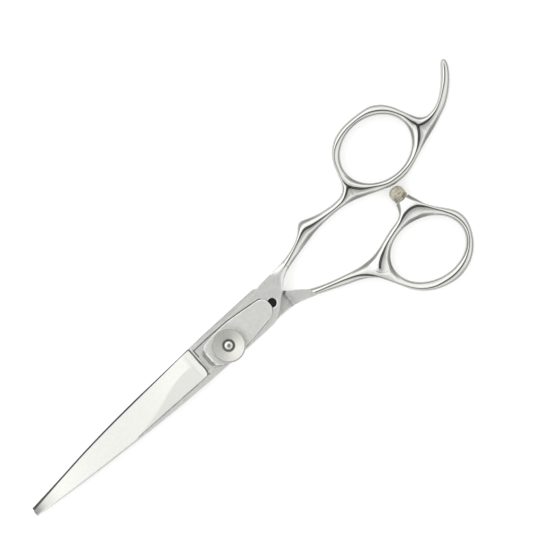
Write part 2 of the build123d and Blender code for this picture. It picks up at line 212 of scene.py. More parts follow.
class Plan:
    """Height field of a plan shape: 2u solves Poisson's equation, so a bar of half
    width w gets w^2 - y^2 across it and junctions blend without creases."""

    def __init__(self, outer, holes, near=1.2):
        self.outer = outer
        low, high = outer.min(0) - 1.5, outer.max(0) + 1.5
        self.x = np.arange(low[0], high[0], PLAN_STEP)
        self.y = np.arange(low[1], high[1], PLAN_STEP)
        mask = inside(outer, self.x, self.y)
        for hole in holes:
            mask &= ~inside(hole, self.x, self.y)
        tree_points = np.vstack([self.dense(loop) for loop in [outer, *holes]])
        tree = kdtree.KDTree(len(tree_points))
        for i, p in enumerate(tree_points):
            tree.insert((p[0], p[1], 0), i)
        tree.balance()
        wide, narrow = mask.copy(), mask.copy()
        for _ in range(int(near / PLAN_STEP)):
            wide = np.logical_or.reduce([wide, *neighbours(wide)])
            narrow = np.logical_and.reduce([narrow, *neighbours(narrow)])
        band = wide & ~narrow
        dist = np.where(mask, near, -near).astype(float)
        for i, j in zip(*np.nonzero(band)):
            d = tree.find((self.x[i], self.y[j], 0))[2]
            dist[i, j] = d if mask[i, j] else -d
        self.height = self.solve(mask, dist)
        self.height = self.extend(self.height, mask, dist)

    @staticmethod
    def dense(loop):
        """Loop resampled to about 0.03 mm."""
        ends = np.roll(loop, -1, 0)
        out = []
        for a, b in zip(loop, ends):
            n = max(1, int(np.linalg.norm(b - a) / 0.03))
            out.append(a + (b - a) * (np.arange(n) / n)[:, None])
        return np.vstack(out)

    @staticmethod
    def solve(mask, dist):
        """Poisson's equation inside the outline, by conjugate gradients."""
        diagonal = np.zeros(mask.shape)
        for d, m in zip(neighbours(dist), neighbours(mask)):
            share = np.clip(dist / np.where(dist - d > 1e-9, dist - d, 1), 0.08, 1)
            diagonal += np.where(m, 1.0, 1 / share)
        m = mask.astype(float)

        def apply(u):
            return m * (diagonal * u - sum(neighbours(u)))

        u = np.zeros(mask.shape)
        r = m * PLAN_STEP**2
        z = r / diagonal
        p = z.copy()
        rz = (r * z).sum()
        for _ in range(600):
            ap = apply(p)
            alpha = rz / (p * ap).sum()
            u += alpha * p
            r -= alpha * ap
            z = r / diagonal
            new = (r * z).sum()
            if new < 1e-14:
                break
            p = z + new / rz * p
            rz = new
        return 2 * u

    @staticmethod
    def extend(height, mask, dist):
        """Carries the field smoothly through the outline to small negative values."""
        sure = mask & (dist > 0.3)
        ratio = np.where(sure, height / np.maximum(dist, 0.3), 0.0)
        weight = sure.astype(float)
        for _ in range(40):
            total = sum(neighbours(ratio * weight))
            count = sum(neighbours(weight))
            ratio = np.where(sure, ratio, total / np.maximum(count, 1e-9))
            weight = np.where(sure, 1.0, (count > 0).astype(float))
        near = 1 - step(0.35, 0.7, dist)
        return np.where(mask, height * (1 - near), 0) + near * ratio * dist

    def __call__(self, x, y):
        return self.sample(self.height, x, y)

    def sample(self, values, x, y):
        """Smooth (Catmull-Rom) sampling of a field on this grid."""
        fx = (x - self.x[0]) / PLAN_STEP
        fy = (y - self.y[0]) / PLAN_STEP
        i = np.clip(np.floor(fx).astype(int), 1, len(self.x) - 3)
        j = np.clip(np.floor(fy).astype(int), 1, len(self.y) - 3)
        tx, ty = np.clip(fx - i, 0, 1), np.clip(fy - j, 0, 1)

        def weights(t):
            return (
                -0.5 * t**3 + t**2 - 0.5 * t,
                1.5 * t**3 - 2.5 * t**2 + 1,
                -1.5 * t**3 + 2 * t**2 + 0.5 * t,
                0.5 * t**3 - 0.5 * t**2,
            )

        wx, wy = weights(tx), weights(ty)
        total = 0
        for a in range(4):
            row = sum(wy[b] * values[i + a - 1, j + b - 1] for b in range(4))
            total = total + wx[a] * row
        return total


def skin(solid, low, high, cell, shape_of):
    """Quads of the surface where solid(x, y, z) crosses zero, drawn onto it exactly.

    Normals come from shape_of, which has no clips, so that a cut end doesn't shade the bar.
    """
    axes = [np.arange(l - 1.5 * cell, h + 2.5 * cell, cell) for l, h in zip(low, high)]
    x, y, z = axes
    f = solid(x[:, None, None], y[None, :, None], z[None, None, :])
    f = np.broadcast_to(f, (len(x), len(y), len(z)))
    neg = f < 0
    shape = tuple(n - 1 for n in f.shape)
    total = np.zeros(shape + (3,))
    count = np.zeros(shape)

    def corner(a, d):
        return a[d[0]:d[0] + shape[0], d[1]:d[1] + shape[1], d[2]:d[2] + shape[2]]

    for axis in range(3):
        for p in ((0, 0), (0, 1), (1, 0), (1, 1)):
            start = list(p)
            start.insert(axis, 0)
            end = list(start)
            end[axis] = 1
            f0, f1 = corner(f, start), corner(f, end)
            cut = (f0 < 0) != (f1 < 0)
            t = np.where(cut, f0 / np.where(cut, f0 - f1, 1), 0)
            for k in range(3):
                total[..., k] += np.where(cut, start[k] + (t if k == axis else 0), 0)
            count += cut
    live = count > 0
    index = -np.ones(shape, int)
    index[live] = np.arange(live.sum())
    cells = np.argwhere(live)
    points = np.array([a[0] for a in axes]) + (cells + total[live] / count[live][:, None]) * cell
    faces = []
    for axis in range(3):
        b, c = [k for k in range(3) if k != axis]
        sel = [slice(1, -1)] * 3
        sel[axis] = slice(0, -1)
        nxt = list(sel)
        nxt[axis] = slice(1, None)
        n0, n1 = neg[tuple(sel)], neg[tuple(nxt)]
        where = np.argwhere(n0 != n1)
        offset = np.ones(3, int)
        offset[axis] = 0
        base = where + offset
        flip = n0[tuple(where.T)]

        def cell_at(db, dc):
            q = base.copy()
            q[:, b] -= db
            q[:, c] -= dc
            return index[tuple(q.T)]

        quad = np.stack([cell_at(1, 1), cell_at(0, 1), cell_at(0, 0), cell_at(1, 0)], 1)
        if axis == 1:
            flip = ~flip
        quad = np.where(flip[:, None], quad, quad[:, ::-1])
        faces.append(quad)
    faces = np.vstack(faces)
    faces = faces[(faces >= 0).all(1)]

    def slope(field, p, h=0.02):
        return np.stack([
            (field(*(p + e).T) - field(*(p - e).T)) / (2 * h) for e in np.eye(3) * h
        ], 1)

    def settle(p, rounds):
        for _ in range(rounds):
            g = slope(solid, p)
            move = solid(*p.T)[:, None] * g / np.maximum((g * g).sum(1), 1e-6)[:, None]
            size = np.linalg.norm(move, axis=1)
            move *= np.minimum(1, 0.5 * cell / np.maximum(size, 1e-9))[:, None]
            p = p - move
        return p

    points = settle(points, 4)
    for _ in range(3):
        total = np.zeros_like(points)
        count = np.zeros(len(points))
        for k in range(4):
            a, b = faces[:, k], faces[:, (k + 1) % 4]
            for m in range(3):
                ahead = np.bincount(a, points[b, m], len(points))
                behind = np.bincount(b, points[a, m], len(points))
                total[:, m] += ahead + behind
            count += np.bincount(a, minlength=len(points)) + np.bincount(b, minlength=len(points))
        points = points + 0.5 * (total / np.maximum(count, 1)[:, None] - points)
        points = settle(points, 2)

    def unit(field):
        g = slope(field, points)
        return g / np.maximum(np.linalg.norm(g, axis=1), 1e-9)[:, None]

    on_bar = np.abs(shape_of(*points.T)) < 0.05
    return points, faces, np.where(on_bar[:, None], unit(shape_of), unit(solid))


# ---- materials ----
def set_inputs(node, **values):
    """Sets a shader node's inputs; an underscore stands for a space."""
    for key, value in values.items():
        node.inputs[key.replace("_", " ")].default_value = value


def add_node(tree, kind, **values):
    """Shader node with some of its inputs set."""
    node = tree.nodes.new(kind)
    set_inputs(node, **values)
    return node


def maths(tree, operation, a, b=None):
    """Output of a maths node; a and b are numbers or other outputs."""
    node = tree.nodes.new("ShaderNodeMath")
    node.operation = operation
    for i, value in enumerate((a, b)):
        if isinstance(value, (int, float)):
            node.inputs[i].default_value = value
        elif value is not None:
            tree.links.new(value, node.inputs[i])
    return node.outputs["Value"]


def along_x(tree):
    """Output that gives the place along the object."""
    coords = tree.nodes.new("ShaderNodeTexCoord")
    split = tree.nodes.new("ShaderNodeSeparateXYZ")
    tree.links.new(coords.outputs["Object"], split.inputs["Vector"])
    return split.outputs["X"]


def material(name, base, metallic, roughness, **sockets):
    """Principled material; sockets are set on the shader itself."""
    m = bpy.data.materials.new(name)
    m.use_nodes = True
    shader = m.node_tree.nodes["Principled BSDF"]
    set_inputs(shader, Base_Color=(*base, 1), Metallic=metallic, Roughness=roughness, **sockets)
    return m


def grain(m, scale, stretch, base_range, rough_range, bump, detail=4.0):
    """Fine procedural variation of colour, roughness and surface on a material."""
    tree = m.node_tree
    shader = tree.nodes["Principled BSDF"]
    coords = tree.nodes.new("ShaderNodeTexCoord")
    mapping = add_node(tree, "ShaderNodeMapping", Scale=stretch)
    noise = add_node(tree, "ShaderNodeTexNoise", Scale=scale, Detail=detail)
    tree.links.new(coords.outputs["Object"], mapping.inputs["Vector"])
    tree.links.new(mapping.outputs["Vector"], noise.inputs["Vector"])
    colour = tree.nodes.new("ShaderNodeValToRGB")
    for element, place, tint in zip(colour.color_ramp.elements, (0.3, 0.7), base_range):
        element.position = place
        element.color = (*tint, 1)
    tree.links.new(noise.outputs["Fac"], colour.inputs["Fac"])
    tree.links.new(colour.outputs["Color"], shader.inputs["Base Color"])
    rough = add_node(
        tree, "ShaderNodeMapRange",
        From_Min=0.3, From_Max=0.7, To_Min=rough_range[0], To_Max=rough_range[1],
    )
    tree.links.new(noise.outputs["Fac"], rough.inputs["Value"])
    tree.links.new(rough.outputs["Result"], shader.inputs["Roughness"])
    if bump:
        node = add_node(tree, "ShaderNodeBump", Strength=bump[0], Distance=bump[1])
        tree.links.new(noise.outputs["Fac"], node.inputs["Height"])
        tree.links.new(node.outputs["Normal"], shader.inputs["Normal"])
    return m


def blend_along_x(m, from_x, to_x, to_roughness, to_colour):
    """Finish that changes gradually along the object, such as satin into polish."""
    tree = m.node_tree
    shader = tree.nodes["Principled BSDF"]
    share = add_node(tree, "ShaderNodeMapRange", From_Min=from_x * MM, From_Max=to_x * MM)
    share.interpolation_type = "SMOOTHSTEP"
    tree.links.new(along_x(tree), share.inputs["Value"])
    for socket, value, data, kind in (
        ("Roughness", to_roughness, "FLOAT", "VALUE"),
        ("Base Color", (*to_colour, 1), "RGBA", "RGBA"),
    ):
        mix = tree.nodes.new("ShaderNodeMix")
        mix.data_type = data
        ends = {x.name: x for x in mix.inputs if x.name in ("A", "B") and x.type == kind}
        mixed = [x for x in mix.outputs if x.type == kind][0]
        tree.links.new(share.outputs["Result"], mix.inputs["Factor"])
        tree.links.new(shader.inputs[socket].links[0].from_socket, ends["A"])
        ends["B"].default_value = value
        tree.links.new(mixed, shader.inputs[socket])


def paint_shade_band(m, middle, half_width, depth):
    """Painted shade: a softly darker band across the object at one place along it."""
    tree = m.node_tree
    shader = tree.nodes["Principled BSDF"]
    away = maths(tree, "ABSOLUTE", maths(tree, "SUBTRACT", along_x(tree), middle * MM))
    share = add_node(
        tree, "ShaderNodeMapRange",
        From_Min=0.1 * half_width * MM, From_Max=half_width * MM, To_Min=depth, To_Max=1,
    )
    share.interpolation_type = "SMOOTHSTEP"
    tree.links.new(away, share.inputs["Value"])
    scale = tree.nodes.new("ShaderNodeVectorMath")
    scale.operation = "SCALE"
    tree.links.new(shader.inputs["Base Color"].links[0].from_socket, scale.inputs[0])
    tree.links.new(share.outputs["Result"], scale.inputs["Scale"])
    tree.links.new(scale.outputs["Vector"], shader.inputs["Base Color"])


def satin_finish(name, dark, light):
    """Satin steel, grained along the blade."""
    return grain(
        material(name, STEEL, 1, 0.4), 5200, (0.25, 1, 1), (dark, light), (0.36, 0.44), (0.06, 0.000004),
    )


STEEL = (0.5, 0.502, 0.478)
satin = satin_finish("satin_steel", (0.66, 0.662, 0.635), (0.735, 0.737, 0.71))
blend_along_x(satin, -24.5, -29.0, 0.06, STEEL)
plate_satin = satin_finish("plate_satin_steel", (0.75, 0.752, 0.725), (0.84, 0.842, 0.815))
rear_satin = satin_finish("rear_satin_steel", (0.64, 0.642, 0.615), (0.72, 0.722, 0.695))
# painted shade: a softly darker band across the rear tang where it rises beside the front heel
paint_shade_band(rear_satin, -21.5, 2.4, 0.84)
# painted shade: dark satin for the ground panel's shoulder, the gap round the plate's pocket and the plate's
# far bevel
painted_shade = grain(
    material("satin_painted_shade", (0.4, 0.4, 0.39), 1, 0.45), 4200, (1, 0.3, 1),
    ((0.2, 0.2, 0.19), (0.27, 0.27, 0.26)), (0.4, 0.5), (0.06, 0.000004),
)
# painted shade: near-black satin for the strip of the rear blade that shows beside the front blade's cutting
# edge
painted_deep_shade = grain(
    material("satin_painted_deep_shade", (0.1, 0.1, 0.1), 1, 0.5), 4200, (1, 0.3, 1),
    ((0.09, 0.09, 0.088), (0.13, 0.13, 0.127)), (0.45, 0.55), (0.06, 0.000004),
)
# painted shade: darker satin for the wall where the rear tang steps up
painted_shoulder_shade = grain(
    material("shoulder_painted_shade_steel", (0.56, 0.56, 0.54), 1, 0.5), 4200, (1, 0.3, 1),
    ((0.52, 0.521, 0.5), (0.6, 0.601, 0.58)), (0.45, 0.55), (0.06, 0.000004),
)
ground = grain(
    material("ground_steel", STEEL, 1, 0.14), 4200, (1, 0.2, 1),
    ((0.42, 0.422, 0.4), (0.455, 0.457, 0.435)), (0.12, 0.18), (0.04, 0.000003),
)
mirror_steel = grain(
    material("mirror_steel", STEEL, 1, 0.06), 1500, (1, 1, 1),
    ((0.485, 0.487, 0.465), (0.52, 0.522, 0.5)), (0.045, 0.085), None,
)
spun = grain(
    material("spun_steel", (0.62, 0.62, 0.61), 1, 0.3, Anisotropic=0.6), 5000, (1, 1, 1),
    ((0.45, 0.45, 0.42), (0.51, 0.51, 0.475)), (0.2, 0.28), (0.05, 0.000004),
)
spring = grain(
    material("spring_steel", (0.5, 0.5, 0.5), 1, 0.3), 3200, (1, 1, 1),
    ((0.42, 0.42, 0.42), (0.54, 0.54, 0.53)), (0.25, 0.38), (0.1, 0.000005),
)
bronze = grain(
    material("bush_bronze", (0.55, 0.36, 0.2), 1, 0.35), 2500, (1, 1, 5),
    ((0.45, 0.3, 0.16), (0.6, 0.42, 0.23)), (0.3, 0.45), (0.1, 0.000005),
)
brass = grain(
    material("core_brass", (0.6, 0.43, 0.2), 1, 0.35), 2500, (1, 5, 1),
    ((0.52, 0.36, 0.16), (0.66, 0.49, 0.25)), (0.28, 0.42), (0.1, 0.000005),
)
slide_plastic = grain(
    material("slide_plastic", (0.8, 0.8, 0.78), 0, 0.45), 1800, (1, 1, 1),
    ((0.74, 0.74, 0.72), (0.83, 0.83, 0.81)), (0.4, 0.5), (0.1, 0.000005),
)
# painted shade: near-black inside the blind hole at the plate's end
hole_painted_shade = grain(
    material("hole_painted_shade", (0.012, 0.012, 0.012), 0, 0.7), 3000, (1, 1, 1),
    ((0.008, 0.008, 0.008), (0.02, 0.02, 0.02)), (0.6, 0.8), None,
)
rubber = grain(
    material("bumper_rubber", (0.5, 0.48, 0.38), 0, 0.3, Transmission_Weight=0.2, IOR=1.45), 900, (1, 1.6, 1),
    ((0.27, 0.22, 0.14), (0.72, 0.71, 0.6)), (0.22, 0.4), (0.1, 0.00002), 3.0,
)


# ---- handles ----
FINGER_HOLE = ((-67.75, -14.5), (10.75, 8.8), -3)  # centre, radii, tilt
THUMB_HOLE = ((-60.4, 16.45), (11.15, 8.65), -11.7)

FRONT_OUTLINE = through([
    (-19, 0.36), (-21.5, -1.6), (-24, -3.8), (-26, -4.8), (-28, -5.4), (-31, -6.15), (-36, -7.3),
    (-40, -8.05), (-45, -8.35),
    (-49, -8.25), (-53, -7.65), (-57, -6.25), (-60, -5.05), (-63, -3.95), (-66, -3.3), (-69, -3.2),
    (-72, -3.8), (-76, -5.3), (-80, -6.8), (-84, -8.1), (-88, -9.6), (-91, -11), (-94, -13.2),
    (-96.5, -15.7), (-98.4, -18.2), (-99.25, -20.2), (-99.1, -21.2), (-98.3, -21.55), (-97.4, -21),
    (-96, -19.3), (-94, -17), (-91.5, -14.7), (-89, -13.1), (-86.5, -12.3), (-84.4, -12.35),
    (-82.8, -13.4), (-81.6, -15.4), (-80.4, -18), (-79, -20.8), (-77, -23.2), (-74.2, -24.9),
    (-71, -25.45), (-67.5, -25.65), (-64, -25.4), (-60.5, -24.3), (-57.6, -22), (-55.9, -19.4),
    (-54.9, -16.5), (-54.1, -14), (-53, -12.1), (-51.3, -11.1), (-49, -10.85), (-46, -11.05),
    (-43, -11.6), (-40.5, -12.4), (-38.6, -13.1), (-37.6, -13.15), (-36.7, -12.6), (-35.4, -11.3),
    (-33.5, -10), (-31, -8.95), (-28, -8.15), (-25.5, -7.8), (-22, -7.45), (-19, -7.25),
], closed=True)

REAR_OUTLINE = through([
    (-24.2, 4.35), (-28, 5.7), (-32, 7.35), (-36, 9), (-40, 10.6), (-42.4, 11.9), (-44.3, 13.5),
    (-45.7, 15.7), (-47.5, 19), (-49.4, 22.3), (-51.8, 24.9), (-54.7, 26.8), (-58, 27.95),
    (-61.5, 28.45), (-65, 27.9), (-68, 26.6), (-70.8, 24.3), (-72.9, 21.2), (-74, 18.2),
    (-74.15, 15.6), (-73.4, 13.2), (-71.6, 10.7), (-69.6, 8.3), (-68.1, 6), (-67.2, 3.6),
    (-66.4, 1.4), (-66.3, -1.2), (-64, -1.6), (-61.7, -1.2), (-61.5, 1.3), (-61, 2.7),
    (-60.2, 3.9), (-58.8, 4.65), (-56, 5.25), (-53, 6.15), (-50, 7.1), (-47.5, 7.7), (-45, 7.8),
    (-42, 7.5), (-38, 6.5), (-34, 5.35), (-30, 3.95), (-27, 2.55), (-24.2, 0.7),
], closed=True)

# crest lines of the handles: a loop round each opening, and the bars' own
FINGER_RIDGES = [
    through([
        (-68, -4.5), (-64, -4.95), (-60, -7), (-57, -9), (-54.9, -11.8), (-54.75, -15),
        (-56.3, -19.6), (-58.6, -22), (-63, -23.85), (-68, -24.3), (-72.8, -23.6), (-76.8, -21),
        (-79.4, -17), (-80.3, -14),
        (-80.9, -12), (-79.8, -9.8), (-77.5, -7.6), (-75, -6.1), (-72, -5), (-68, -4.5),
    ], 8),
    through([
        (-98.3, -21), (-97.2, -19), (-95, -16.5), (-93, -14.9), (-90, -12.85), (-88, -11.8), (-86, -11.2),
        (-84.4, -11), (-82.6, -11.15), (-80.9, -11.8),
    ], 8),
    through([
        (-20, -4.6), (-24, -5.9), (-27, -6.6), (-30.5, -7.9), (-34, -9.4), (-37.4, -10.6),
        (-40, -10.1), (-45, -9.6), (-48, -9.4), (-51, -9.6), (-53, -10.5), (-54.8, -11.9),
    ], 8),
]
THUMB_RIDGES = [
    through([
        (-24, 3.2), (-28.3, 4.8), (-33, 6.25), (-38, 8), (-41, 9.5), (-43.2, 11.6), (-44.9, 14.2),
        (-46.6, 17.6), (-48.9, 21), (-51.3, 23.6), (-54.5, 25.6), (-58, 26.5), (-61.5, 26.75),
        (-65, 26.1), (-68, 24.6), (-70.6, 22.2), (-72.2, 19.6), (-72.6, 17), (-72.1, 14.2), (-70.6, 11.3),
        (-69, 8.9), (-67.4, 6.6), (-65.6, 5.1), (-63.4, 4.6), (-61, 4.95), (-59, 5.75), (-56, 6.6),
        (-53, 7.5), (-50, 8.95), (-47.6, 10.5), (-46.6, 11.5),
    ], 8),
]
BAR_SOFT = 0.38  # how quickly a bar's section fills up to the ridge's height
RIDGE_HIGH = 2.8  # half height of the handles along the crest lines
RIDGE_FALL = 0.50  # slope away from a crest
RIDGE_ROUND = 0.44  # rounding of a crest on a narrow bar
WEB_ROUND = 0.3  # extra rounding where the handle is broad
WEB_FROM = 1.8  # plan height at which that extra rounding begins
RIDGE_MEET = 0.15  # how softly two crests run together
LIP_HIGH = 2.05  # half height at the start of the bevel round a finger opening
LIP_BLEND = 0.03  # rounding between that bevel and the ground surface
REAR_WELD = (-28.3, 5.2)  # a point on the slanted weld of the rear handle
REAR_WELD_FACING = (0.83, 0.555)
FOOT_END_Y = 1.2  # end of the foot that carries the bumper


def ridge_fall(ridges, x, y, rounding):
    """How far the ground surface lies below its crests, on a grid over x and y."""
    fall = 0
    for line in ridges:
        away = np.full(x.shape, 1e9)
        for a, b in zip(line[:-1], line[1:]):
            away = np.minimum(away, to_segment(a, b, x, y))
        rounded = np.sqrt(away**2 + rounding**2) - rounding
        fall = fall + np.exp(-np.minimum(rounded, 40 * RIDGE_MEET) / RIDGE_MEET)
    return RIDGE_FALL * np.clip(-RIDGE_MEET * np.log(np.maximum(fall, 1e-30)), -0.1, 3.5)


class Terrain:
    """Half height of a handle along its crests, sampled on the plan's own grid."""

    def __init__(self, plan, ridges):
        self.plan = plan
        x, y = np.meshgrid(plan.x, plan.y, indexing="ij")
        near = plan.height > -2
        self.level = np.full(x.shape, RIDGE_HIGH - 1.0)
        rounding = RIDGE_ROUND + WEB_ROUND * np.clip(plan.height[near] - WEB_FROM, 0, 3.2)
        self.level[near] = RIDGE_HIGH - ridge_fall(ridges, x[near], y[near], rounding)

    def __call__(self, x, y):
        return self.plan.sample(self.level, x, y)


def handle_solid(plan, terrain, oval, clips):
    """Handle as a closed field: negative inside."""
    centre, radii, tilt = oval
    c, sn = math.cos(math.radians(tilt)), math.sin(math.radians(tilt))

    def solid(x, y, z):
        flat_x, flat_y = np.broadcast_arrays(x, y)
        s = plan(flat_x, flat_y)
        top = terrain(flat_x, flat_y)
        f = ((z - MID_Z) ** 2 - top**2 * (1 - np.exp(-np.clip(s, -2, 40) / BAR_SOFT))) / (2 * MID_Z)
        dx, dy = x - centre[0], y - centre[1]
        u, v = (dx * c + dy * sn) / radii[0], (dy * c - dx * sn) / radii[1]
        rho = np.sqrt(u * u + v * v) + 1e-9
        out = (rho - 1) * rho / np.sqrt((u / radii[0]) ** 2 + (v / radii[1]) ** 2 + 1e-12)
        lip = (np.abs(z - MID_Z) - LIP_HIGH - np.minimum(out, 3)) * 0.707 * (MID_Z - 0.4) / MID_Z
        f = 0.5 * (f + lip + np.sqrt((f - lip) ** 2 + LIP_BLEND**2))
        for clip in clips:
            f = np.maximum(f, clip(x, y, z))
        return f

    return solid


def make_handle(name, plan, terrain, oval, clips, finish, node, body):
    """Polished handle in place of its plain CAD node."""
    outline = plan.outer
    solid = handle_solid(plan, terrain, oval, clips)
    low = np.append(outline.min(0), 0.0)
    high = np.append(outline.max(0), FULL_Z)
    points, faces, normals = skin(solid, low, high, SKIN_STEP, handle_solid(plan, terrain, oval, []))
    piece = add_mesh(name, points, faces, [finish], normals=normals)
    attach(piece, body)
    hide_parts(node)


front_plan = Plan(FRONT_OUTLINE, [ellipse(*FINGER_HOLE)])
front_terrain = Terrain(front_plan, FINGER_RIDGES)
rear_plan = Plan(REAR_OUTLINE, [ellipse(*THUMB_HOLE)])
rear_terrain = Terrain(rear_plan, THUMB_RIDGES)

make_handle(
    "polished_front_handle", front_plan, front_terrain, FINGER_HOLE,
    [lambda x, y, z: x - WELD_X], satin, "front_handle", "front_half",
)
make_handle(
    "polished_rear_handle", rear_plan, rear_terrain, THUMB_HOLE,
    [
        lambda x, y, z: REAR_WELD_FACING[0] * (x - REAR_WELD[0]) + REAR_WELD_FACING[1] * (y - REAR_WELD[1]),
        lambda x, y, z: FOOT_END_Y - y - 4 * (x < -70) - 4 * (x > -58),
    ],
    mirror_steel, "rear_handle", "rear_half",
)


# ---- blades ----
FRONT_SPINE = profile(
    (-27, -5.1), (-26, -4.8), (-24, -3.8), (-22.6, -2.6), (-21.5, -1.6), (-20.2, -0.65), (-19, 0.36),
    (-17.9, 1.4), (-16.6, 2.5), (-15.2, 3.4), (-13.8, 3.82), (-11, 4), (-4, 4.1), (9.5, 4.2),
    (20, 4.1), (30, 3.8), (40, 3.3), (50, 2.75), (60, 2.05), (67, 1.45), (72.4, 1),
)
FRONT_EDGE = profile(
    (-27, -8), (-24, -7.64), (-18.3, -7.2), (-15.6, -6.65), (-4, -6), (4, -6.15), (9.5, -6.4),
    (20, -5.85), (30, -5.25), (40, -4.6), (50, -3.7), (60, -2.5), (67, -1.55), (72.4, -0.8),
)
REAR_SPINE = profile(
    (-28.4, 5.6), (-28.2, 4.8), (-27.4, 3), (-25.9, 1.5), (-21.6, -1.6), (-15.65, -7.3), (-15.3, -7.43),
    (-4, -7.2), (4, -7), (9.7, -6.7), (20, -6.2), (30, -5.75), (40, -5.1), (50, -4.2), (60, -3),
    (67, -2.2), (72.2, -1.65),
)
REAR_EDGE = profile(
    (-28.4, 5.8), (-27, 5.3), (-25, 4.6), (-23, 4), (-21, 3.6), (-16, 3.5), (-12, 3.7), (9.5, 3.6),
    (30, 3.1), (50, 2.1), (65, 1), (72.2, 0.5),
)
PANEL_TOP = profile(
    (9.5, 2.7), (20, 2.75), (30, 2.85), (38, 2.95), (45, 2.7), (55, 2.1), (65, 1.35), (72.4, 0.8),
)
FACET_LINE = profile(
    (9.5, 2.68), (11.3, 1.8), (11.7, -0.4), (12.1, -1.9), (12.9, -2.5), (15, -2.45), (20, -1.5),
    (25, 0.1), (28.6, 1.2), (33.6, 2.3), (38, 2.9),
)
PANEL_X = 9.5  # start of the ground panel
TIP_THICK = 1.3  # blade thickness at the tip
EDGE_THICK = 0.14  # thickness left at the cutting edge
PANEL_STEP = 0.22  # drop from the flat to the panel at its start
FACET_SHARE = 0.74  # the facet's slope as a share of an even grind
CORNER = (1.3, 0.45)  # size and reach of the panel's rounded corner
HOLE = (-17.1, -1.0)  # blind hole at the plate's end
HOLE_R = 1.3
HOLE_DEPTH = 1.6
SHOULDER_R = (20.9, 21.6)  # where the rear tang steps up, measured from the pivot
TANG_FADE = (-27.0, -21.5)  # where the front tang's bar runs out into the blade
POCKET = np.array([
    (-16.45, -2.3), (-15.05, -4.3), (-11.9, -4.78), (-4, -5.62), (2, -5.62), (8.7, -5.4),
    (8.7, 1.6), (5.15, 3.0), (-4, 3.5), (-12.6, 2.2), (-14.65, 1.7), (-16.45, 0.05),
])


def signed(loop, x, y):
    """Distance to a polygon, positive inside."""
    best = np.full(np.broadcast(x, y).shape, 1e9)
    odd = np.zeros(best.shape, bool)
    for a, b in zip(loop, np.roll(loop, -1, 0)):
        best = np.minimum(best, to_segment(a, b, x, y))
        if a[1] != b[1]:
            across = a[0] + (y - a[1]) / (b[1] - a[1]) * (b[0] - a[0])
            odd ^= ((a[1] <= y) != (b[1] <= y)) & (x < across)
    return np.where(odd, best, -best)


def grid_solid(name, xs, low, high, top, bottom, across, materials, slot_of):
    """Closed solid between two side contours, with its top and bottom as height fields."""
    t = 0.5 - 0.5 * np.cos(np.linspace(0, math.pi, across))
    t = 0.6 * t + 0.4 * np.linspace(0, 1, across)
    x = np.repeat(xs[:, None], across, 1)
    y = low(xs)[:, None] * (1 - t) + high(xs)[:, None] * t
    z_top, z_low = top(x, y), bottom(x, y)
    z_low = np.minimum(z_low, z_top - 0.02)
    n = x.size
    vertices = np.vstack([np.stack([x.ravel(), y.ravel(), z.ravel()], 1) for z in (z_top, z_low)])
    at = np.arange(n).reshape(x.shape)
    a, b, c, d = at[:-1, :-1], at[1:, :-1], at[1:, 1:], at[:-1, 1:]
    upper = np.stack([a, b, c, d], -1).reshape(-1, 4)
    lower = np.stack([d, c, b, a], -1).reshape(-1, 4) + n
    sides = []
    for line, turn in ((at[:, 0], 1), (at[:, -1], 0), (at[0], 0), (at[-1], 1)):
        p, q = line[:-1], line[1:]
        quad = np.stack([p, q, q + n, p + n], -1)
        sides.append(quad[:, ::-1] if turn else quad)
    faces = np.vstack([upper, lower, *sides])
    centres = vertices[faces].mean(1)
    return add_mesh(name, vertices, faces, materials, slot_of(centres), sharp=28)


STUD_R = 2.01  # stud's hole in the front blade and the plate
BUSH_BORE_R = 2.65  # bearing bush's hole in the rear blade
WASHER_POCKET_R = 3.45  # recesses for the stud's head and for the washer between the blades
WASHER_POCKET = 2.5  # floor of the washer's recess
HEAD_POCKET = 1.2  # floor of the head's recess, from the back


def drill(piece, bores):
    """Cut round holes on the pivot axis: (radius, low, high)."""
    turn = np.radians(np.arange(0, 360, 3.75))
    for radius, low, high in bores:
        n = len(turn)
        ring = np.column_stack([radius * np.cos(turn), radius * np.sin(turn)])
        points = np.vstack([np.column_stack([ring, np.full(n, level)]) for level in (low, high)])
        sides = [(i, (i + 1) % n, n + (i + 1) % n, n + i) for i in range(n)]
        mesh = bpy.data.meshes.new("bore")
        ends = [tuple(range(n))[::-1], tuple(range(n, 2 * n))]
        mesh.from_pydata((points * MM).tolist(), [], sides + ends)
        cutter = bpy.data.objects.new("bore", mesh)
        bpy.context.scene.collection.objects.link(cutter)
        cut = piece.modifiers.new("bore", "BOOLEAN")
        cut.operation = "DIFFERENCE"
        cut.solver = "EXACT"
        cut.object = cutter
        bpy.context.view_layer.update()
        drilled = bpy.data.meshes.new_from_object(piece.evaluated_get(bpy.context.evaluated_depsgraph_get()))
        piece.modifiers.clear()
        piece.data = drilled
        bpy.data.objects.remove(cutter)
        bpy.data.meshes.remove(mesh)


def stations(*spans):
    """Cross-section places along the blade: (start, end, step) spans."""
    out = [np.arange(a, b, s) for a, b, s in spans]
    return np.append(np.concatenate(out), spans[-1][1])


def set_back(inward):
    """How far the ground panel's start moves along, near its top edge, to round its corner."""
    return CORNER[0] * np.exp(-np.maximum(inward, 0) / CORNER[1])


def panel_start(x, inward):
    """0 before the ground panel and 1 on it; inward is the distance from its top edge."""
    corner = set_back(inward)
    return step(PANEL_X - 0.55 + corner, PANEL_X + 0.15 + corner, x)


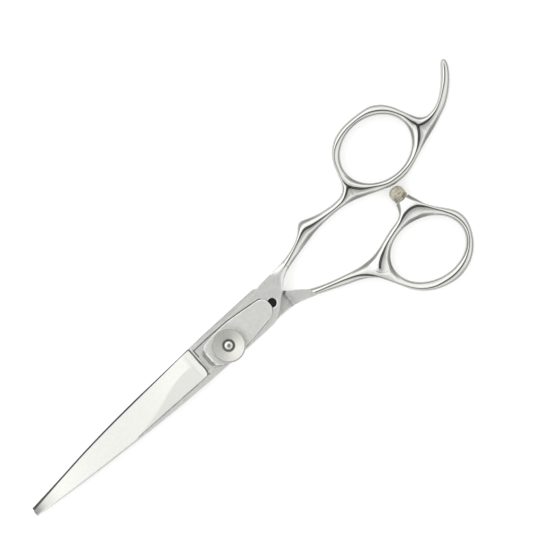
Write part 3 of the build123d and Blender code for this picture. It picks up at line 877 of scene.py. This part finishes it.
def panel_drop(x, outward_y, edge_y, strip_y, facet_y):
    """How far the ground panel lies below the blade's flat; y runs from edge to spine."""
    thick = BLADE_T + (TIP_THICK - BLADE_T) * np.clip((x - PANEL_X) / (TIP_X - PANEL_X), 0, 1)
    first = PANEL_STEP * (1 - step(20, 38, x))
    full = thick - EDGE_THICK
    span = np.maximum(strip_y - edge_y, 0.1)
    share = np.clip((strip_y - outward_y) / span, 0, 1)
    facet = np.clip((strip_y - facet_y) / span, 0, 1)
    at_facet = first + (full - first) * facet * FACET_SHARE
    upper = first + (full - first) * share * FACET_SHARE
    lower = at_facet + (full - at_facet) * np.clip((share - facet) / np.maximum(1 - facet, 0.01), 0, 1)
    return np.where(share < facet, upper, lower), thick


def tang_half_height(x, y):
    """Half height of the polished bar that the front tang rounds over into."""
    s = np.maximum(front_plan(x, y), 0)
    return front_terrain(x, y) * np.sqrt(1 - np.exp(-s / BAR_SOFT))


def front_top(x, y):
    """Outer face of the front blade: heel, pocket, blind hole and ground panel."""
    spine, edge = FRONT_SPINE(x), FRONT_EDGE(x)
    strip = PANEL_TOP(x)
    drop, thick = panel_drop(x, y, edge, strip, FACET_LINE(x))
    z = RIDE_FRONT + thick - np.where(y < strip, drop * panel_start(x, strip - y), 0)
    to_spine = spine - y
    slanted = np.sqrt(1 + 0.9 * step(-22, -19, x) * (1 - step(-16, -14, x)))
    chamfer = 0.45 + 0.35 * (1 - step(-15, -9, x)) * step(-23, -20, x)
    z = z - 0.13 * np.maximum(chamfer - to_spine / slanted, 0)
    to_edge = y - edge
    z = z - 0.05 * np.maximum(0.35 - to_edge, 0) * (x < PANEL_X - 0.6)
    pocket = signed(POCKET, x, y)
    z = z - (FULL_Z - PLATE_LOW) * step(-0.04, 0.06, pocket)
    hole = np.hypot(x - HOLE[0], y - HOLE[1])
    z = np.where(hole < HOLE_R, FULL_Z - HOLE_DEPTH, z - 0.12 * np.clip((1.5 - hole) / 0.2, 0, 1))
    bar = MID_Z + tang_half_height(x, y)
    blend = 1 - step(*TANG_FADE, x)
    return z * (1 - blend) + np.minimum(z, bar) * blend


def front_bottom(x, y):
    """Ride face, and the full-depth tang behind the rear blade's heel."""
    heel = (x + 18.75) * 0.778 + (y + 7.15) * 0.628
    tang = (MID_Z - tang_half_height(x, y)) * (1 - step(*TANG_FADE, x))
    return np.where(heel < 0, np.maximum(tang, 0.0), RIDE_FRONT)


def front_slots(centres):
    """Finish of each face of the front blade: 0 satin, 1 ground, 2 painted shade in the hole, 3 painted
    shade.
    """
    x, y, z = centres.T
    on_top = z > RIDE_FRONT + 0.08
    strip = PANEL_TOP(x)
    polished = on_top & (x > PANEL_X - 0.35) & (y < strip - 0.02) & (y > FRONT_EDGE(x) - 0.1)
    slots = polished.astype(int)
    # painted shade inside the blind hole
    in_hole = np.hypot(x - HOLE[0], y - HOLE[1]) < HOLE_R + 0.03
    slots[in_hole & (z < FULL_Z - 0.05) & on_top] = 2
    # painted shade on the ground panel's shoulder and in the gap round the plate's pocket
    start = x - PANEL_X - set_back(strip - y)
    painted_shoulder_shade = (np.abs(start + 0.25) < 0.3) & (y < strip)
    painted_shoulder_shade |= (np.abs(y - strip + 0.08) < 0.13) & (start > 0) & (x < 36)
    depth = signed(POCKET, x, y)
    painted_gap_shade = (depth > -0.03) & (depth < 0.3) & (y < -3) & (z < FULL_Z - 0.05)
    slots[on_top & (painted_shoulder_shade | painted_gap_shade)] = 3
    return slots


front_blade = grid_solid(
    "front_blade_steel",
    stations((WELD_X, -26, 0.2), (-26, PANEL_X + 4, 0.17), (PANEL_X + 4, TIP_X, 0.6)),
    FRONT_EDGE, FRONT_SPINE, front_top, front_bottom, 135, [satin, ground, hole_painted_shade, painted_shade], front_slots,
)
drill(front_blade, [(STUD_R, 0, 9)])
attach(front_blade, "front_half")
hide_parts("front_blade")


def rear_top(x, y):
    """Ride face of the rear blade, and the tang that rises beside the front heel."""
    r = np.hypot(x, y)
    clear = (y - FRONT_SPINE(x)) * 0.75 - 0.35
    rise = np.minimum(step(*SHOULDER_R, r), step(0, 0.6, clear))
    z = RIDE_REAR + (FULL_Z - 0.2 - RIDE_REAR) * np.where(x < -16, rise, 0)
    edge = REAR_EDGE(x) - y
    z = z - 0.6 * np.maximum(0.3 - edge, 0) * (x < -16)
    low = y - REAR_SPINE(x)
    return z - 0.5 * np.maximum(0.25 - low, 0) * (x < -21.5)


def rear_strip(x):
    """Inner edge of the strip along the rear blade's spine."""
    return np.maximum(-PANEL_TOP(x) - 2.7, REAR_SPINE(x) + 0.3)


def rear_bottom(x, y):
    """Outer face of the rear blade, seen from behind."""
    spine, edge, strip = REAR_SPINE(x), REAR_EDGE(x), rear_strip(x)
    drop, thick = panel_drop(x, -y, -edge, -strip, -strip - 0.01)
    z = (RIDE_REAR - thick) + np.where(y > strip, drop * panel_start(x, y - strip), 0)
    z = z + 0.75 * np.maximum(0.4 - (y - spine), 0)
    z = z + 0.5 * np.maximum(0.3 - (edge - y), 0) * (x < PANEL_X)
    return np.where(np.hypot(x, y) < WASHER_POCKET_R, HEAD_POCKET, z)


def rear_slots(centres):
    """Finish of each face of the rear blade: 0 satin, 1 ground, 2 painted deep shade, 3 painted shade on the
    shoulder.
    """
    x, y, z = centres.T
    panel = (z < RIDE_REAR - 0.08) & (x > PANEL_X - 0.35) & (y > rear_strip(x))
    slots = panel.astype(int)
    # painted shade on the strip of ride face that shows beside the front blade's cutting edge
    slots[(x > PANEL_X) & (y < FRONT_EDGE(x) + 0.3) & (z > RIDE_REAR - 0.1)] = 2
    r = np.hypot(x, y)
    # painted shade on the wall where the tang steps up
    painted_wall_shade = (x < -16) & (r > SHOULDER_R[0] - 0.1) & (r < SHOULDER_R[1] + 0.1)
    slots[painted_wall_shade & (z > RIDE_REAR + 0.03) & (z < FULL_Z - 0.23)] = 3
    return slots


rear_blade = grid_solid(
    "rear_blade_steel",
    stations(
        (-28.4, -15, 0.15), (-15, PANEL_X - 1, 0.3), (PANEL_X - 1, PANEL_X + 2, 0.15),
        (PANEL_X + 2, TIP_X - 0.2, 0.5),
    ),
    REAR_SPINE, REAR_EDGE, rear_top, rear_bottom, 110, [rear_satin, ground, painted_deep_shade, painted_shoulder_shade], rear_slots,
)
drill(rear_blade, [(BUSH_BORE_R, -1, 4), (WASHER_POCKET_R, WASHER_POCKET, 4)])
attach(rear_blade, "rear_half")
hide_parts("rear_blade")


# ---- leaf plate ----
PLATE = through([
    (-16.35, -2.3), (-15.7, -3.5), (-14.9, -4.05), (-13.8, -4.3), (-11.9, -4.5), (-8, -4.95), (-4, -5.3),
    (0, -5.2), (4.6, -4.6), (5.7, -4.1), (6.9, -3.25), (7.45, -2.7), (7.5, -1), (7.4, 0.9), (6.6, 1.7),
    (5.1, 2.9), (3, 3.3), (-4, 3.35), (-8, 2.85), (-12.6, 2.1), (-14.1, 1.85), (-15.1, 1.3),
    (-15.9, 0.45), (-16.35, -0.2),
], 6, closed=True)

BEVEL_X = 6.3  # start of the bevel at the plate's far end


def make_plate():
    """Leaf plate with a rounded rim and a long bevel at its far end; the bevel is painted with shade."""
    centre = np.array([-4.5, -1.0])
    rings = [
        (0.0, PLATE_LOW), (0.0, PLATE_HIGH - 0.22), (0.03, PLATE_HIGH - 0.08), (0.08, PLATE_HIGH - 0.02),
        (0.15, PLATE_HIGH),
    ]
    inner = 26
    normal = np.roll(PLATE, -1, 0) - np.roll(PLATE, 1, 0)
    normal = np.stack([-normal[:, 1], normal[:, 0]], 1)
    normal /= np.linalg.norm(normal, axis=1)[:, None]
    if ((centre - PLATE) * normal).sum() < 0:
        normal = -normal
    loops = []
    for inset, z in rings:
        p = PLATE + normal * inset
        loops.append(np.column_stack([p, np.full(len(p), z)]))
    rim = PLATE + normal * rings[-1][0]
    for k in range(1, inner + 1):
        p = rim + (centre - rim) * (k / (inner + 1))
        loops.append(np.column_stack([p, np.full(len(p), PLATE_HIGH)]))
    vertices = np.vstack(loops + [np.array([[*centre, PLATE_HIGH]])])
    bevel = np.clip((vertices[:, 0] - BEVEL_X) / 1.2, 0, 1) * 0.35
    high = vertices[:, 2] > PLATE_LOW + 0.01
    vertices[high, 2] = np.maximum(vertices[high, 2] - bevel[high], PLATE_LOW + 0.05)
    n = len(PLATE)
    faces = []
    for k in range(len(loops) - 1):
        for i in range(n):
            j = (i + 1) % n
            faces.append((k * n + i, k * n + j, (k + 1) * n + j, (k + 1) * n + i))
    last = (len(loops) - 1) * n
    for i in range(n):
        faces.append((last + i, last + (i + 1) % n, len(vertices) - 1))
    faces.append(tuple(range(n))[::-1])
    middles = [vertices[list(f)].mean(0) for f in faces]
    # painted shade on the bevel at the plate's far end
    slots = [int(m[0] > BEVEL_X + 0.02 and m[2] > PLATE_LOW + 0.2) for m in middles]
    piece = add_mesh("leaf_plate_steel", vertices, faces, [plate_satin, painted_shade], slots, sharp=30)
    drill(piece, [(STUD_R, 0, 9)])
    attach(piece, "front_half")
    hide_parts("tension_plate")


make_plate()


# ---- dial and stud ----
def arc_rings(centre_r, centre_z, radius, start, end, n):
    """Rings round a quarter or other arc in the turned profile, angles in degrees."""
    a = np.radians(np.linspace(start, end, n))
    return [(centre_r + radius * math.cos(t), centre_z + radius * math.sin(t)) for t in a]


dial_rings = (
    [(1.55, DIAL_LOW + 0.75), (4.05, DIAL_LOW + 0.75), (4.05, DIAL_LOW), (DIAL_R - 0.15, DIAL_LOW)]
    + arc_rings(DIAL_R - 0.15, DIAL_LOW + 0.15, 0.15, -90, 0, 4)
    + arc_rings(DIAL_R - 0.3, DIAL_HIGH - 0.3, 0.3, 0, 90, 8)
    + [(DIAL_R - 0.42, DIAL_HIGH - 0.01), (DIAL_R - 0.55, DIAL_HIGH - 0.05)]
    + [
        (r, DIAL_HIGH - 0.05 - 0.5 * ((DIAL_R - 0.55 - r) / 2.4))
        for r in np.linspace(DIAL_R - 0.65, 1.98, 22)
    ]
    + arc_rings(1.98, DIAL_HIGH - 0.72, 0.17, 80, 180, 6)
    + [(1.8, DIAL_HIGH - 0.85), (1.55, DIAL_HIGH - 0.85)]
)
dial = lathe("dial_steel_top", dial_rings, (0, 0, 0), (0, 0, 1), spun)
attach(dial, "dial")
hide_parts("adjuster_dial")

stud_high = node_mm("pivot_stud")[1][2]
stud_rings = (
    [(0, 0.35), (0.35, 0.35), (0.5, 0.0), (3.15, 0.0), (3.3, 0.12), (3.3, 1.0), (2.0, 1.0), (2.0, 6.7)]
    + [(1.5, 6.75), (1.5, 7.1), (1.3, 7.12), (1.3, stud_high - 0.55)]
    + [(1.3 * math.cos(t), stud_high - 0.55 + 0.55 * math.sin(t)) for t in np.radians(np.linspace(8, 80, 12))]
    + [(0.16, stud_high - 0.005), (0.1, stud_high - 0.06), (0, stud_high - 0.09)]
)
stud = lathe("stud_steel_turned", stud_rings, (0, 0, 0), (0, 0, 1), mirror_steel)
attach(stud, "front_half")
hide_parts("pivot_stud")


# ---- bumper ----
bumper_low, bumper_high = node_mm("bumper")
bumper_r = (bumper_high[0] - bumper_low[0]) / 2
bumper_len = bumper_high[1] - bumper_low[1]
bumper_at = ((bumper_high[0] + bumper_low[0]) / 2, bumper_high[1], MID_Z)
ribs = []
for k in range(3):
    for inset, rise in ((0.32, 0.24), (0.06, 0.35), (0.06, 0.43)):
        ribs.append((bumper_r - inset, rise + 0.34 * k))
bumper_rings = (
    [(0, 0.0), (bumper_r - 0.42, 0.0), (bumper_r - 0.42, 0.2)]
    + ribs
    + [(bumper_r - 0.3, 1.25), (bumper_r - 0.04, 1.45), (bumper_r, 1.7)]
    + [
        (bumper_r * max(math.cos(t), 0) ** 0.8, 2.3 + (bumper_len - 2.3) * math.sin(t))
        for t in np.radians(np.linspace(0, 86, 16))
    ]
    + [(0, bumper_len)]
)
bumper = lathe("bumper_rubber_head", bumper_rings, bumper_at, (0, -1, 0), rubber, 72)
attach(bumper, "rear_half")
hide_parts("bumper")


# ---- carried-over nodes ----
for node, finish in (
    ("click_ring", spring), ("spring_washer", spring), ("pivot_bush", bronze),
    ("blade_washer", slide_plastic), ("head_washer", slide_plastic), ("bumper_screw", brass),
):
    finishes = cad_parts[node].data.materials
    finishes.clear()
    finishes.append(finish)


# ---- floor, light and camera ----
TENT = [  # brightness against angle from straight up, in degrees
    (0, 0.16), (4, 0.1), (6.5, 0.03), (11.5, 0.04), (16.5, 0.5), (20, 0.66), (32, 0.76),
    (44, 1.0), (54, 0.9), (64, 0.42), (78, 0.28), (90, 0.26), (180, 0.3),
]
TENT_LEVEL = 1.85
KEY_SIDE = -78  # bearing that the light is strongest from
KEY_SHARE = 0.41
PAIR_SIDE = KEY_SIDE + 20  # bearing of a weaker pair of bright sides
PAIR_SHARE = 0.12


def make_floor():
    """Pale floor that gives off some light, like a light table."""
    light_table = grain(
        material(
            "floor_light_table", (0.62, 0.62, 0.62), 0, 0.9,
            Emission_Color=(1, 1, 1, 1), Emission_Strength=0.5,
        ), 60, (1, 1, 1),
        ((0.61, 0.61, 0.61), (0.63, 0.63, 0.63)), (0.85, 0.95), None,
    )
    corners = [(1500 * x, 1500 * y, -0.03) for x, y in ((-1, -1), (1, -1), (1, 1), (-1, 1))]
    floor = add_mesh("floor", corners, [(0, 1, 2, 3)], [light_table])


def make_world():
    """White light tent, brighter from one side, with the opening that the camera looks through."""
    world = bpy.data.worlds.new("light_tent")
    bpy.context.scene.world = world
    world.use_nodes = True
    tree = world.node_tree
    new, link = tree.nodes.new, tree.links.new

    def by_angle(angle, stops):
        ramp = new("ShaderNodeValToRGB")
        elements = ramp.color_ramp.elements
        while len(elements) < len(stops):
            elements.new(0.5)
        for element, (degrees, value) in zip(elements, stops):
            element.position = degrees / 180
            element.color = (value, value, value, 1)
        link(angle, ramp.inputs["Fac"])
        return ramp.outputs["Color"]

    coords = new("ShaderNodeTexCoord")
    split = new("ShaderNodeSeparateXYZ")
    link(coords.outputs["Generated"], split.inputs["Vector"])
    angle = maths(tree, "DIVIDE", maths(tree, "ARCCOSINE", split.outputs["Z"]), math.pi)
    level = by_angle(angle, TENT)
    reach = by_angle(angle, [(0, 0), (12, 0), (18, 1), (32, 1), (48, 0.25), (90, 0.1), (180, 0)])
    turn = maths(tree, "ARCTAN2", split.outputs["Y"], split.outputs["X"])
    side = maths(tree, "COSINE", maths(tree, "SUBTRACT", turn, math.radians(KEY_SIDE)))
    turned = maths(tree, "SUBTRACT", turn, math.radians(PAIR_SIDE))
    pair = maths(tree, "COSINE", maths(tree, "MULTIPLY", turned, 2))
    key = maths(tree, "MULTIPLY", side, KEY_SHARE)
    uneven = maths(tree, "ADD", key, maths(tree, "MULTIPLY", pair, PAIR_SHARE))
    gain = maths(tree, "ADD", maths(tree, "MULTIPLY", uneven, reach), 1)
    background = tree.nodes["Background"]
    link(level, background.inputs["Color"])
    link(maths(tree, "MULTIPLY", gain, TENT_LEVEL), background.inputs["Strength"])


def make_camera():
    """Straight down from the dial side, the blades pointing to the lower left."""
    data = bpy.data.cameras.new("camera")
    camera = bpy.data.objects.new("camera", data)
    bpy.context.scene.collection.objects.link(camera)
    bpy.context.scene.camera = camera
    centre, distance, width = (-22.66, -9.36), 1100.0, 151.2
    data.sensor_width = 36
    data.lens = data.sensor_width * distance / width
    data.clip_end = 20
    right = np.array([-0.7541, 0.6567, 0])
    right /= np.linalg.norm(right)
    up = np.array([-right[1], right[0], 0])
    place = Matrix.Identity(4)
    for row in range(3):
        place[row][0], place[row][1] = right[row], up[row]
        place[row][3] = (*centre, distance + MID_Z)[row] * MM
    camera.matrix_world = place


make_floor()
make_world()
make_camera()
bpy.context.scene.view_settings.view_transform = "Standard"
